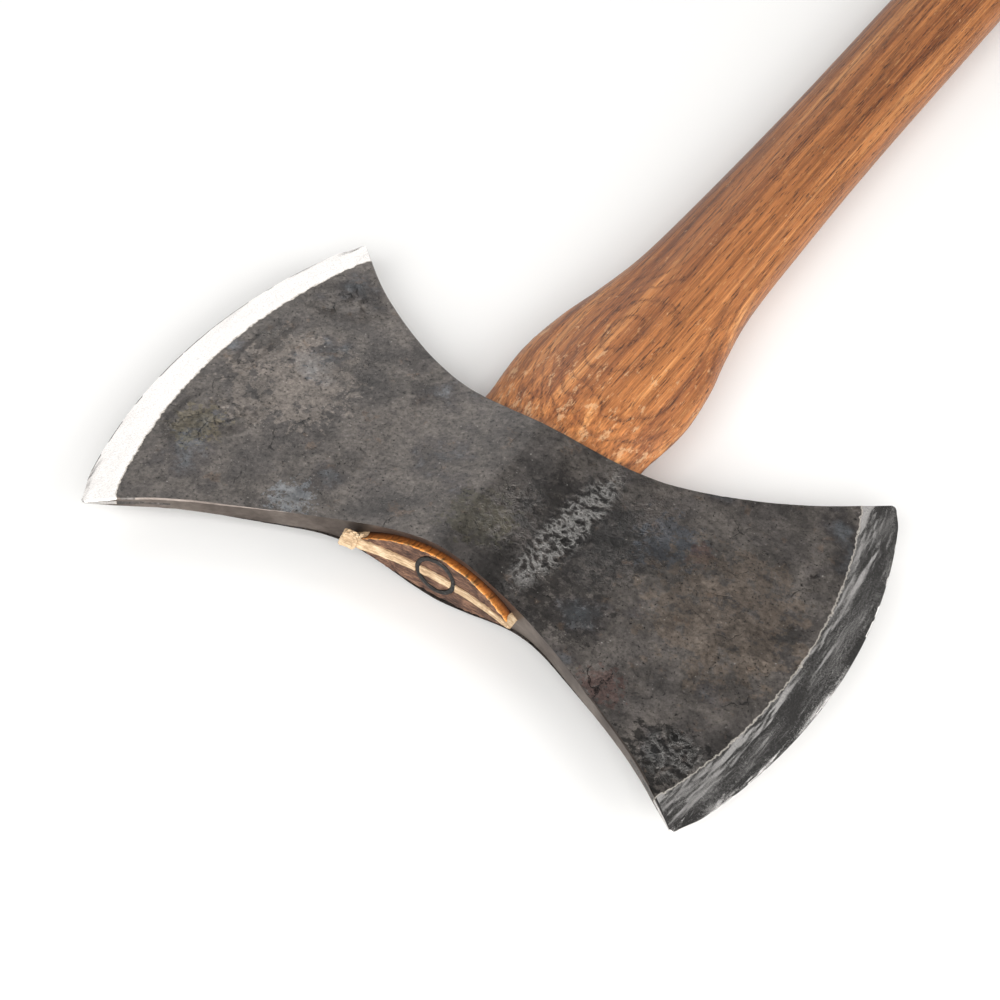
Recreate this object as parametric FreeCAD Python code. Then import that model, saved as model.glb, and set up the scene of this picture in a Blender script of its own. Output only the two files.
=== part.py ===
import FreeCAD, Part
import math
import os

os.makedirs("parts", exist_ok=True)

# Double-bit felling axe, lying on its cheek. Millimetres.
# X runs along the two bits, Y runs along the haft from the head to the butt, Z is up.
# The origin is the centre of the haft's flat butt end. The Z = 0 plane is the mid-plane of head and haft.

# ---- overall sizes -------------------------------------------------------------------------------
HAFT_LENGTH = 762.0          # end grain in the eye to the butt face, on the centreline
HEAD_REACH_LEFT = 133.4      # haft centreline to the middle of the -X cutting edge
HEAD_REACH_RIGHT = 130.2     # the +X edge is ground back a little further
BIT_WIDTH = 165.6            # toe corner to heel corner before the corners are rounded
EDGE_RADIUS = 212.0          # sweep of both cutting edges
EDGE_SHIFT_LEFT = 1.6        # the hand-ground edges sweep about centres a little off the head's middle,
EDGE_SHIFT_RIGHT = -1.8      # along Y
CORNER_RADIUS = 1.5          # rounding of the toe and heel corners

# ---- head ----------------------------------------------------------------------------------------
EYE_LENGTH = 65.0
EYE_WIDTH_TOP = 19.8         # the eye is wider at the top, so the wedge can spread the tongue
EYE_WIDTH_BOTTOM = 18.6
EYE_WALL = 4.1               # steel beside the middle of the eye, at the head's top
EYE_TOP = 36.9               # eye centre to the head's top, on the centreline
EYE_BOTTOM = 28.4            # eye centre to the head's underside, on the centreline
HUMP_RUNOUT = 14.5           # how far past the eye's ends the swell round it dies away into the bits
HUMP_POWER = 2.2             # how sharply it falls on the way
BIT_HALF_AT_EDGE = 1.0       # half thickness the cheeks would have at the cutting edge
BIT_TAPER = 0.0385           # gain in half thickness for each millimetre behind the edge
CHEEK_CROWN = 0.32           # extra thickness down the middle of each bit, as a fraction
BEVEL_CROWN = 0.29           # the same all along the bevel's inner line, so that the bevel is even in width
CROWN_RUNIN = 35.0           # how far behind that line the crown takes its own shape

# ---- ground bevels -------------------------------------------------------------------------------
EDGE_HALF = 0.12             # half thickness of the cutting edge itself
HONE_DEPTH = 1.5
HONE_HALF = 0.45             # half thickness where the honed strip ends
BEVEL_DEPTH = 12.5
BEVEL_HALF = 1.9             # half thickness where the bevel meets the crowned cheek

# ---- haft ----------------------------------------------------------------------------------------
FIT = 0.1                    # gap left between pieces that are driven together
END_PROUD = 2.75             # how far the end grain stands out of the steel
END_HOLLOW = 3.85            # the end grain follows the hollow of the head's top
TONGUE_END = 35.0            # the tongue's plain taper ends just below the steel
SHOULDER_SWELL = 4.4         # how much wider the haft is below the head than in the eye
SHOULDER_THICKNESS = 27.6
SHOULDER_DEPTH = 37.0        # tongue's end to the widest place below the head
GRIP_WIDTH = 44.2
GRIP_THICKNESS = 28.4
GRIP_DEPTH = 235.0           # tongue's end to the narrowest place
BUTT_WIDTH = 53.0
BUTT_THICKNESS = 33.0
BUTT_ROUND = 3.0

# ---- wedge and ring ------------------------------------------------------------------------------
KERF_BOTTOM = 8.0            # the kerf ends this far past the eye's centre
WEDGE_THICK_LEFT = 4.7
WEDGE_THICK_RIGHT = 2.0
WEDGE_THICK_BOTTOM = 1.2
WEDGE_TIP_GAP = 2.0          # empty kerf left below the wedge's tip
RING_DIAMETER = 15.9
RING_WALL = 1.7
RING_DEPTH = 19.0
RING_PROUD = 0.4
RING_X = 0.4
RING_Z = 0.5

# ---- sizes worked out from the ones above ----------------------------------------------------------
END_Y = -(EYE_TOP + END_PROUD)              # end grain on the centreline, from the eye's centre
EYE_CENTRE_Y = -HAFT_LENGTH - END_Y         # eye's centre in the part's own frame
HEAD_REACH = 0.5 * (HEAD_REACH_LEFT + HEAD_REACH_RIGHT)
TOE_Y = 0.5 * BIT_WIDTH
TOE_X = HEAD_REACH - EDGE_RADIUS + math.sqrt(EDGE_RADIUS ** 2 - TOE_Y ** 2)
HEAD_HALF = 0.5 * EYE_WIDTH_TOP + EYE_WALL
HUMP_REACH = 0.5 * EYE_LENGTH + HUMP_RUNOUT
EYE_OVERRUN = 12.0                          # how far cutting tools pass the faces they cut
CHEEK_ROOM = 3.0 * HEAD_HALF

# How much of the shoulder's extra width is left, at a fraction of the way from shoulder to grip.
NECK = ((0.0, 1.0), (0.065, 0.91), (0.115, 0.795), (0.167, 0.62), (0.22, 0.465), (0.29, 0.29), (0.39, 0.165),
        (0.545, 0.09), (0.75, 0.03), (1.0, 0.0))
SWELL_STEPS = 9              # stations from the grip to the butt
SWELL_POWER = 1.2

# Flare of the head's top and underside: how much of the rise from eye to corner is reached, at a
# fraction of the way out to the corner.
TOP_FLARE = ((0.0, 0.0), (0.16, 0.015), (0.32, 0.083), (0.47, 0.235), (0.64, 0.44), (0.8, 0.65), (1.0, 1.0))
UNDER_FLARE = ((0.0, 0.0), (0.14, 0.035), (0.28, 0.11), (0.47, 0.245), (0.69, 0.49), (0.86, 0.735), (1.0, 1.0))


def vec(x, y, z):
    return FreeCAD.Vector(x, y, z)


def in_part_frame(shape):
    """Moves a shape built about the eye's centre to its place in the part's own frame."""
    moved = shape.copy()
    moved.translate(vec(0, EYE_CENTRE_Y, 0))
    return moved


def save(shape, node):
    solids = shape.Solids
    if len(solids) != 1:
        raise ValueError(node + " is not one solid")
    solid = solids[0]
    if not solid.isValid():
        raise ValueError(node + " is not a valid solid")
    solid.exportStep("parts/" + node + ".step")
    print(node, "volume", round(solid.Volume / 1000.0, 2), "cm3")


# ---- head ----------------------------------------------------------------------------------------
def flare_curve(flare, start, end, side):
    """One half-profile of the head mirrored into a smooth curve from the -X corner to the +X one.

    The last points run on past the corners, in line with the flare, so the edge arcs can trim it.
    """
    rise = end - start
    points = []
    for fraction, gain in flare:
        points.append((fraction * TOE_X, start + gain * rise))
    (x_a, y_a), (x_b, y_b) = points[-2], points[-1]
    slope = (y_b - y_a) / (x_b - x_a)
    points.append((x_b + 25.0, y_b + 25.0 * slope))
    right = [vec(x, side * y, 0) for x, y in points]
    left = [vec(-p.x, p.y, 0) for p in reversed(right[1:])]
    curve = Part.BSplineCurve()
    curve.interpolate(left + right)
    return curve


def edge_disc(reach, shift, side):
    """A disc whose rim is the sweep of one cutting edge."""
    centre = vec(side * (reach - EDGE_RADIUS), shift, -CHEEK_ROOM)
    return Part.makeCylinder(EDGE_RADIUS, 2 * CHEEK_ROOM, centre)


def outline_prism():
    """The head's outline seen from the cheek, as a tall prism with rounded corners."""
    top = flare_curve(TOP_FLARE, EYE_TOP, TOE_Y, -1).toShape()
    under = flare_curve(UNDER_FLARE, EYE_BOTTOM, TOE_Y, 1).toShape()
    left = Part.makeLine(top.firstVertex().Point, under.firstVertex().Point)
    right = Part.makeLine(under.lastVertex().Point, top.lastVertex().Point)
    face = Part.Face(Part.Wire([top, right, under, left]))
    face.translate(vec(0, 0, -CHEEK_ROOM))
    band = face.extrude(vec(0, 0, 2 * CHEEK_ROOM))
    prism = band.common(edge_disc(HEAD_REACH_LEFT, EDGE_SHIFT_LEFT, -1))
    prism = prism.common(edge_disc(HEAD_REACH_RIGHT, EDGE_SHIFT_RIGHT, 1))
    corners = []
    for edge in prism.Edges:
        a, b = edge.Vertexes[0].Point, edge.Vertexes[-1].Point
        upright = abs(a.x - b.x) < 1e-6 and abs(a.y - b.y) < 1e-6
        if upright and abs(a.x) > 0.5 * TOE_X and abs(a.y) > 0.5 * TOE_Y:
            corners.append(edge)
    return prism.makeFillet(CORNER_RADIUS, corners)


def smooth_step(value, low, high):
    t = min(1.0, max(0.0, (value - low) / (high - low)))
    return t * t * (3 - 2 * t)


def cheek_half(x, y):
    """Half thickness of the head at a point of its mid-plane, before the bevels are ground."""
    out = abs(x)
    behind_edge = EDGE_RADIUS - math.hypot(out + EDGE_RADIUS - HEAD_REACH, y)
    bit = BIT_HALF_AT_EDGE + BIT_TAPER * behind_edge
    rim = EYE_TOP + (TOE_Y - EYE_TOP) * (out / TOE_X) ** 2
    t = y / rim
    crown = CHEEK_CROWN * (1 - t * t) / (1 + t * t)
    crown = BEVEL_CROWN + (crown - BEVEL_CROWN) * smooth_step(behind_edge, BEVEL_DEPTH - 2, BEVEL_DEPTH + CROWN_RUNIN)
    bit *= 1 + crown * smooth_step(out, 0.4 * HUMP_REACH, 1.3 * HUMP_REACH)
    middle = BIT_HALF_AT_EDGE + BIT_TAPER * HEAD_REACH
    bell = math.cos(0.5 * math.pi * min(1.0, out / HUMP_REACH)) ** HUMP_POWER
    return bit + (HEAD_HALF - middle) * bell


def cheek_slab():
    """The solid between the two crowned cheeks, much wider than the head."""
    x_far, y_far = HEAD_REACH + 15.0, TOE_Y + 15.0
    x_count, y_count = 61, 21
    rows = []
    for i in range(x_count):
        x = -x_far + 2 * x_far * i / (x_count - 1)
        row = []
        for j in range(y_count):
            y = -y_far + 2 * y_far * j / (y_count - 1)
            row.append(vec(x, y, cheek_half(x, y)))
        rows.append(row)
    surface = Part.BSplineSurface()
    surface.interpolate(rows)
    below_upper = surface.toShape().extrude(vec(0, 0, -CHEEK_ROOM))
    above_lower = below_upper.mirror(vec(0, 0, 0), vec(0, 0, 1))
    return below_upper.common(above_lower)


def bevel_disc(reach, shift, side):
    """A double cone on one edge's centre. What lies outside it is ground away to make the bevels."""
    slope = (BEVEL_HALF - HONE_HALF) / (BEVEL_DEPTH - HONE_DEPTH)
    hone_slope = (HONE_HALF - EDGE_HALF) / HONE_DEPTH
    overrun = 0.7 * EDGE_HALF / hone_slope
    clear_depth = BEVEL_DEPTH + 6.0
    upper = [
        (0.0, CHEEK_ROOM),
        (EDGE_RADIUS - 45.0, CHEEK_ROOM),
        (EDGE_RADIUS - clear_depth, HONE_HALF + slope * (clear_depth - HONE_DEPTH)),
        (EDGE_RADIUS - HONE_DEPTH, HONE_HALF),
        (EDGE_RADIUS + overrun, EDGE_HALF - hone_slope * overrun),
    ]
    ring = upper + [(r, -z) for r, z in reversed(upper)]
    points = [vec(r, 0, z) for r, z in ring]
    points.append(points[0])
    profile = Part.Face(Part.makePolygon(points))
    disc = profile.revolve(vec(0, 0, 0), vec(0, 0, 1), 360)
    disc.translate(vec(side * (reach - EDGE_RADIUS), shift, 0))
    return disc


def lens_wire(half_length, half_width, fullness, y):
    """A closed section across the haft at one height: a pointed lens at fullness 1, an oval at 0.5."""
    count = 24
    upper = []
    for i in range(count + 1):
        x = -half_length * math.cos(math.pi * i / count)
        rest = max(0.0, 1 - (x / half_length) ** 2)
        upper.append(vec(x, y, half_width * rest ** fullness))
    lower = [vec(p.x, y, -p.z) for p in reversed(upper)]
    edges = []
    for points in (upper, lower):
        curve = Part.BSplineCurve()
        curve.interpolate(points)
        edges.append(curve.toShape())
    return Part.Wire(edges)


def eye_half_width(y):
    """Half width of the eye at a height, from its straight taper."""
    along = (y + EYE_TOP) / (EYE_TOP + EYE_BOTTOM)
    return 0.5 * (EYE_WIDTH_TOP + along * (EYE_WIDTH_BOTTOM - EYE_WIDTH_TOP))


def eye_core(gap, y_start, y_end):
    """What fills the eye, smaller than it by a gap all round."""
    wires = []
    for y in (y_start, y_end):
        wires.append(lens_wire(0.5 * EYE_LENGTH - 2 * gap, eye_half_width(y) - gap, 1.0, y))
    return Part.makeLoft(wires, True, True)


def make_head():
    head = outline_prism().common(cheek_slab())
    head = head.common(bevel_disc(HEAD_REACH_LEFT, EDGE_SHIFT_LEFT, -1))
    head = head.common(bevel_disc(HEAD_REACH_RIGHT, EDGE_SHIFT_RIGHT, 1))
    return head.cut(eye_core(0.0, -EYE_TOP - EYE_OVERRUN, EYE_BOTTOM + EYE_OVERRUN))


# ---- haft ----------------------------------------------------------------------------------------
def haft_sections():
    """Stations down the haft: distance from the eye, half width, half thickness and fullness."""
    tongue, tongue_half = 0.5 * EYE_LENGTH - 2 * FIT, eye_half_width(TONGUE_END) - FIT
    shoulder, shoulder_half = 0.5 * (EYE_LENGTH + SHOULDER_SWELL), 0.5 * SHOULDER_THICKNESS
    grip, grip_half = 0.5 * GRIP_WIDTH, 0.5 * GRIP_THICKNESS
    butt, butt_half = 0.5 * BUTT_WIDTH, 0.5 * BUTT_THICKNESS
    shoulder_y, grip_y, butt_y = TONGUE_END + SHOULDER_DEPTH, TONGUE_END + GRIP_DEPTH, HAFT_LENGTH + END_Y
    sections = [(TONGUE_END, tongue, tongue_half, 1.0)]
    for along, widening, thickening, fullness in ((0.2, 0.06, 0.5, 0.86), (0.46, 0.48, 0.86, 0.7)):
        sections.append((
            TONGUE_END + along * SHOULDER_DEPTH,
            tongue + widening * (shoulder - tongue),
            tongue_half + thickening * (shoulder_half - tongue_half),
            fullness,
        ))
    for along, left in NECK:
        sections.append((
            shoulder_y + along * (grip_y - shoulder_y),
            grip + left * (shoulder - grip),
            shoulder_half + along * (grip_half - shoulder_half),
            0.5 + 0.06 * left ** 3,
        ))
    for step in range(1, SWELL_STEPS + 1):
        along = step / SWELL_STEPS
        swell = along ** SWELL_POWER
        sections.append((
            grip_y + along * (butt_y - grip_y),
            grip + swell * (butt - grip),
            grip_half + swell * (butt_half - grip_half),
            0.5,
        ))
    return sections


def end_grain_cutter(proud):
    """Everything past the hollow end of the tongue, moved out by an amount."""
    half = 0.5 * EYE_LENGTH
    radius = (half ** 2 + END_HOLLOW ** 2) / (2 * END_HOLLOW)
    centre = vec(0, END_Y - proud - radius, -CHEEK_ROOM)
    return Part.makeCylinder(radius, 2 * CHEEK_ROOM, centre)


def wedge_body(gap, y_tip):
    """The wedge's blade, thicker at its -X end, from above the end grain down to its tip."""
    y_top = END_Y - EYE_OVERRUN
    y_root = KERF_BOTTOM
    side = 0.5 * EYE_LENGTH + 2.0
    wires = []
    for y in (y_top, y_tip):
        along = (y - END_Y) / (y_root - END_Y)
        left = 0.5 * (WEDGE_THICK_LEFT + along * (WEDGE_THICK_BOTTOM - WEDGE_THICK_LEFT)) - gap
        right = 0.5 * (WEDGE_THICK_RIGHT + along * (WEDGE_THICK_BOTTOM - WEDGE_THICK_RIGHT)) - gap
        corners = [vec(-side, y, left), vec(side, y, right), vec(side, y, -right), vec(-side, y, -left)]
        corners.append(corners[0])
        wires.append(Part.makePolygon(corners))
    return Part.makeLoft(wires, True, True)


def ring_shape(gap):
    """The round steel wedge, grown by a gap all round. Its leading rim is thinned from inside."""
    outer = 0.5 * RING_DIAMETER + gap
    inner = 0.5 * RING_DIAMETER - RING_WALL - gap
    top = END_Y - RING_PROUD - (EYE_OVERRUN if gap > 0 else 0.0)
    tip = END_Y - RING_PROUD + RING_DEPTH + gap
    lead = tip - 5.0
    points = [
        vec(inner, top, 0),
        vec(outer, top, 0),
        vec(outer, tip, 0),
        vec(outer - 0.35 * RING_WALL - gap, tip, 0),
        vec(inner, lead, 0),
    ]
    points.append(points[0])
    ring = Part.Face(Part.makePolygon(points)).revolve(vec(0, 0, 0), vec(0, 1, 0), 360)
    ring.translate(vec(RING_X, 0, RING_Z))
    return ring


def round_butt(haft):
    """Rounds the rim of the flat butt end."""
    butt = HAFT_LENGTH + END_Y
    rim = [e for e in haft.Edges if all(abs(v.Point.y - butt) < 1e-4 for v in e.Vertexes)]
    return haft.makeFillet(BUTT_ROUND, rim)


def make_haft():
    wires = [lens_wire(half_length, half_width, fullness, y)
             for y, half_length, half_width, fullness in haft_sections()]
    stick = round_butt(Part.makeLoft(wires, True, False))
    tongue = eye_core(FIT, END_Y - EYE_OVERRUN, TONGUE_END)
    haft = stick.fuse(tongue)
    haft = haft.cut(end_grain_cutter(0.0))
    haft = haft.cut(wedge_body(0.0, KERF_BOTTOM))
    return haft.cut(ring_shape(FIT))


# ---- wedge and ring ------------------------------------------------------------------------------
def make_wedge():
    blade = wedge_body(FIT, KERF_BOTTOM - WEDGE_TIP_GAP)
    wedge = blade.common(eye_core(FIT, END_Y - EYE_OVERRUN, TONGUE_END))
    wedge = wedge.cut(end_grain_cutter(0.5))
    return wedge.cut(ring_shape(FIT))


def make_ring():
    return ring_shape(0.0)


def main():
    makers = {
        "axe_head": make_head,
        "haft": make_haft,
        "wood_wedge": make_wedge,
        "ring_wedge": make_ring,
    }
    for node, maker in makers.items():
        save(in_part_frame(maker()), node)


main()
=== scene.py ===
"""A double-bit felling axe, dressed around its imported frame.

Metres and the frame's own axes throughout: X along the two bits, Y along the haft towards the butt, Z up out of the
upper cheek. Sizes are kept in millimetres, measured from the middle of the eye, until a vertex gets its place.
"""

import logging
import math
from dataclasses import dataclass
from enum import Enum
from functools import partial
from typing import Callable, Iterable, Sequence

import bmesh
import bpy
import numpy as np
from mathutils import Matrix, Vector, noise


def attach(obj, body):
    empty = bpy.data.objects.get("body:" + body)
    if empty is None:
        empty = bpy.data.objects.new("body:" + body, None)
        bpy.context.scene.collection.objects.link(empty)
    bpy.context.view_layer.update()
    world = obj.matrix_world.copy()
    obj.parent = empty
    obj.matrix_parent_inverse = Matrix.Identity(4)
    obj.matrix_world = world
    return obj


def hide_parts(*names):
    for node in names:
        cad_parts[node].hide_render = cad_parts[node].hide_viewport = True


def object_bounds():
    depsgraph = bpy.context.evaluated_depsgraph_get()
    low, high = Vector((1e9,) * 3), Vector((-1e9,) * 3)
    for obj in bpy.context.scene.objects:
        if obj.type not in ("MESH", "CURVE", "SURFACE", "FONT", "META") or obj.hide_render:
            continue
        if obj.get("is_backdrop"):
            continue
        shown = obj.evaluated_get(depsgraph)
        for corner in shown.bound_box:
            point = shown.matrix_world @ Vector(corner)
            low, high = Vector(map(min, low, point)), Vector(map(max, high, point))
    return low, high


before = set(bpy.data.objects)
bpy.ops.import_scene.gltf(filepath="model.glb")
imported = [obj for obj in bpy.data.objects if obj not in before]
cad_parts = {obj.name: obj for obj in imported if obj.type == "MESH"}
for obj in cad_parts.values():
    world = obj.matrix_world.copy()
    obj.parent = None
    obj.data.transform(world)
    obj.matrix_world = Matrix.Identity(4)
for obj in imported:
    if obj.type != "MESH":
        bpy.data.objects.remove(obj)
CAD_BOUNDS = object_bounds()

logging.basicConfig(level=logging.INFO, format="%(message)s")
log = logging.getLogger("axe")

MM = 0.001
MERGE = 2e-6                      # metres: closer vertices than this are one
END_PROUD_MM = 2.75               # how far the end grain stands out of the head's top
HAFT_LENGTH_MM = 762.0


def smooth_step(value: float, low: float, high: float) -> float:
    """Rises smoothly from 0 at low to 1 at high.

    Args:
        value: where on the way it is.
        low: where the rise starts.
        high: where it ends.

    Returns:
        A share from 0 to 1.
    """
    t = min(1.0, max(0.0, (value - low) / (high - low)))
    return t * t * (3 - 2 * t)


class SmoothLine:
    """A curve through a few (place, value) pairs that bends evenly through all of them."""

    def __init__(self, pairs: Iterable[tuple[float, float]], level_start: bool = False) -> None:
        """Fits the curve.

        Args:
            pairs: places in rising order, each with its value.
            level_start: whether the curve leaves its first place level.
        """
        self.x, self.y = (np.array(column, float) for column in zip(*pairs))
        count = len(self.x)
        step = np.diff(self.x)
        matrix, right = np.zeros((count, count)), np.zeros(count)
        for i in range(1, count - 1):
            matrix[i, i - 1:i + 2] = step[i - 1], 2 * (step[i - 1] + step[i]), step[i]
            right[i] = 6 * ((self.y[i + 1] - self.y[i]) / step[i] - (self.y[i] - self.y[i - 1]) / step[i - 1])
        matrix[0, 0] = matrix[-1, -1] = 1.0
        if level_start:
            matrix[0, :2] = 2 * step[0], step[0]
            right[0] = 6 * (self.y[1] - self.y[0]) / step[0]
        self.bend = np.linalg.solve(matrix, right)

    def at(self, place: float) -> float:
        """The value at a place."""
        i = int(min(max(np.searchsorted(self.x, place) - 1, 0), len(self.x) - 2))
        h = self.x[i + 1] - self.x[i]
        a, b = (self.x[i + 1] - place) / h, (place - self.x[i]) / h
        curve = ((a ** 3 - a) * self.bend[i] + (b ** 3 - b) * self.bend[i + 1]) * h * h / 6
        return float(a * self.y[i] + b * self.y[i + 1] + curve)

    def slope(self, place: float) -> float:
        """The slope at a place."""
        return (self.at(place + 0.01) - self.at(place - 0.01)) / 0.02


# ---- the shape that head and haft share ---------------------------------------------------------------
@dataclass(frozen=True)
class Eye:
    """The lens-shaped hole through the head, in millimetres from its own middle."""

    length: float = 65.0
    width_top: float = 19.8
    width_bottom: float = 18.6
    top: float = 36.9
    bottom: float = 28.4
    hollow: float = 3.85

    @property
    def end_y(self) -> float:
        """Where the haft's end grain lies on the centreline."""
        return -(self.top + END_PROUD_MM)

    @property
    def centre_y(self) -> float:
        """The eye's middle in the frame."""
        return -HAFT_LENGTH_MM - self.end_y

    def half_width(self, y: float) -> float:
        """Half the eye's width at a height, from its straight taper."""
        along = (y + self.top) / (self.top + self.bottom)
        return 0.5 * (self.width_top + along * (self.width_bottom - self.width_top))

    def lens(self, x: float, y: float, gap: float = 0.0) -> float:
        """Half the eye's width at a place along it, less a gap all round."""
        half = 0.5 * self.length - 2 * gap
        return max(0.0, (self.half_width(y) - gap) * (1 - (x / half) ** 2))

    def end_grain_y(self, x: float) -> float:
        """The hollowed line of the haft's end across the eye."""
        half = 0.5 * self.length
        radius = (half ** 2 + self.hollow ** 2) / (2 * self.hollow)
        return self.end_y - (radius - math.sqrt(radius ** 2 - x ** 2))

    def place(self, x: float, y: float, z: float) -> Vector:
        """A point in millimetres from the eye's middle, as metres in the frame."""
        return Vector((x, y + self.centre_y, z)) * MM


# ---- mesh helpers --------------------------------------------------------------------------------------
def grid(bm: bmesh.types.BMesh, columns: int, rows: int,
         place: Callable[[int, int], Vector]) -> list[list[bmesh.types.BMVert]]:
    """Adds a grid and moves each of its vertices to its place.

    Args:
        bm: the mesh to add it to.
        columns: cells one way.
        rows: cells the other way.
        place: gives a vertex's place from its column and row.

    Returns:
        The vertices, by column and then row.
    """
    made = bmesh.ops.create_grid(bm, x_segments=columns, y_segments=rows, size=1.0)["verts"]
    made = sorted(made, key=lambda v: (round(v.co.x, 5), round(v.co.y, 5)))
    net = [made[i * (rows + 1):(i + 1) * (rows + 1)] for i in range(columns + 1)]
    for i, column in enumerate(net):
        for j, vert in enumerate(column):
            vert.co = place(i, j)
    return net


def show(name: str, data: bpy.types.ID) -> bpy.types.Object:
    """Makes an object of a mesh, light or camera and puts it in the scene."""
    made = bpy.data.objects.new(name, data)
    bpy.context.scene.collection.objects.link(made)
    return made


def finish_mesh(bm: bmesh.types.BMesh, name: str, sharp_degrees: float) -> bpy.types.Object:
    """Closes a mesh, points its faces outwards and makes it an object.

    Args:
        bm: the mesh, freed here.
        name: the piece's name.
        sharp_degrees: edges that turn more than this stay crisp.

    Returns:
        The new object, at the origin.
    """
    bmesh.ops.remove_doubles(bm, verts=bm.verts, dist=MERGE)
    bmesh.ops.dissolve_degenerate(bm, dist=MERGE, edges=bm.edges)
    bmesh.ops.recalc_face_normals(bm, faces=bm.faces)
    for face in bm.faces:
        face.smooth = True
    for edge in bm.edges:
        edge.smooth = not (len(edge.link_faces) == 2 and edge.calc_face_angle(0.0) > math.radians(sharp_degrees))
    mesh = bpy.data.meshes.new(name)
    bm.to_mesh(mesh)
    bm.free()
    return show(name, mesh)


def carve(piece: bpy.types.Object, cutter: bpy.types.Object, operation: str = "DIFFERENCE") -> None:
    """Cuts one mesh by another, or joins them, and removes the second.

    Args:
        piece: the piece that is kept.
        cutter: the shape that cuts it or is joined to it.
        operation: DIFFERENCE or UNION.
    """
    modifier = piece.modifiers.new("carve", "BOOLEAN")
    modifier.operation, modifier.solver, modifier.object = operation, "EXACT", cutter
    bpy.context.view_layer.update()
    depsgraph = bpy.context.evaluated_depsgraph_get()
    mesh = bpy.data.meshes.new_from_object(piece.evaluated_get(depsgraph))
    piece.modifiers.clear()
    old, piece.data = piece.data, mesh
    mesh.name = piece.name
    bpy.data.meshes.remove(old)
    bpy.data.objects.remove(cutter)


def fractal(x: float, y: float, z: float, size: float, octaves: int = 3) -> float:
    """Even noise about zero whose largest lumps are about size across, in the units of x, y and z."""
    return noise.fractal(Vector((x, y, z)) / size, 0.9, 2.1, octaves)


# ---- finishes ------------------------------------------------------------------------------------------
def linear(colour: str) -> tuple[float, ...]:
    """Turns an sRGB colour, six hex digits after a hash, into the linear one that shaders use, with an alpha of 1."""
    parts = [int(colour[i:i + 2], 16) / 255 for i in (1, 3, 5)]
    return (*(c / 12.92 if c <= 0.04045 else ((c + 0.055) / 1.055) ** 2.4 for c in parts), 1.0)


def per_mm(size: float) -> float:
    """The texture scale at which a pattern's lumps are size millimetres across."""
    return 1.0 / (size * MM)


class Kind(Enum):
    """The kinds of node that the finishes use: node type, the sockets in the order they are given in, and settings."""

    TIMES = "ShaderNodeMath", (0, 1), {"operation": "MULTIPLY"}
    PLUS = "ShaderNodeMath", (0, 1), {"operation": "ADD"}
    TIMES_PLUS = "ShaderNodeMath", (0, 1, 2), {"operation": "MULTIPLY_ADD"}
    MATH = "ShaderNodeMath", (0, 1, 2), {}
    STRETCH = "ShaderNodeVectorMath", (0, 1), {"operation": "MULTIPLY"}
    PUSH = "ShaderNodeVectorMath", (0, 1, 2), {"operation": "MULTIPLY_ADD"}
    VECTOR = "ShaderNodeVectorMath", (0, 1, 2), {}
    TINT = "ShaderNodeMix", (0, 6, 7), {"data_type": "RGBA"}
    SHADE = "ShaderNodeMix", (0, 6, 7), {"data_type": "RGBA", "blend_type": "MULTIPLY"}
    NOISE = "ShaderNodeTexNoise", ("Vector", "Scale", "Detail", "Roughness"), {}
    RIDGES = ("ShaderNodeTexNoise", ("Vector", "Scale", "Detail", "Roughness", "Offset", "Gain"),
              {"noise_type": "RIDGED_MULTIFRACTAL"})
    CELLS = "ShaderNodeTexVoronoi", ("Vector", "Scale"), {"feature": "DISTANCE_TO_EDGE"}
    RAMP = "ShaderNodeValToRGB", ("Fac",), {}
    RANGE = "ShaderNodeMapRange", ("Value", "From Min", "From Max", "To Min", "To Max"), {}
    COORDS = "ShaderNodeTexCoord", (), {}
    LAYER = "ShaderNodeAttribute", (), {}
    SPLIT = "ShaderNodeSeparateXYZ", (0,), {}
    JOIN = "ShaderNodeCombineXYZ", (0, 1, 2), {}
    BUMP = "ShaderNodeBump", ("Height", "Strength", "Distance"), {}
    SHADER = "ShaderNodeBsdfPrincipled", ("Base Color", "Roughness", "Metallic", "Normal"), {}
    BLEND = "ShaderNodeMixShader", (0, 1, 2), {}
    LIGHT_PATH = "ShaderNodeLightPath", (), {}
    OUTPUT = "ShaderNodeOutputMaterial", ("Surface",), {}


def add_node(tree: bpy.types.NodeTree, kind: Kind, *inputs: object, ramp: Sequence[tuple[float, str]] = (),
             named: dict[str, object] | None = None, **settings: object) -> bpy.types.Node:
    """Adds one node with its settings, values and links.

    Args:
        tree: the node tree it goes in.
        kind: what it is.
        inputs: for each of the kind's sockets a value, a hex colour, a socket to link from, or a node whose first live
            output it is.
        ramp: for a colour ramp, each stop's place and hex colour.
        named: the same for other sockets, by name.
        settings: the node's own properties.

    Returns:
        The new node.
    """
    node_type, sockets, fixed = kind.value
    node = tree.nodes.new(node_type)
    for name, value in (fixed | settings).items():
        setattr(node, name, value)
    for key, value in (dict(zip(sockets, inputs)) | (named or {})).items():
        if isinstance(value, bpy.types.Node):
            value = next(s for s in value.outputs if s.enabled)
        if isinstance(value, bpy.types.NodeSocket):
            tree.links.new(value, node.inputs[key])
        else:
            node.inputs[key].default_value = linear(value) if isinstance(value, str) else value
    for i, (place, colour) in enumerate(ramp):
        stops = node.color_ramp.elements
        stop = stops[i] if i < 2 else stops.new(place)
        stop.position, stop.color = place, linear(colour)
    return node


Adder = Callable[..., bpy.types.Node]


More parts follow.
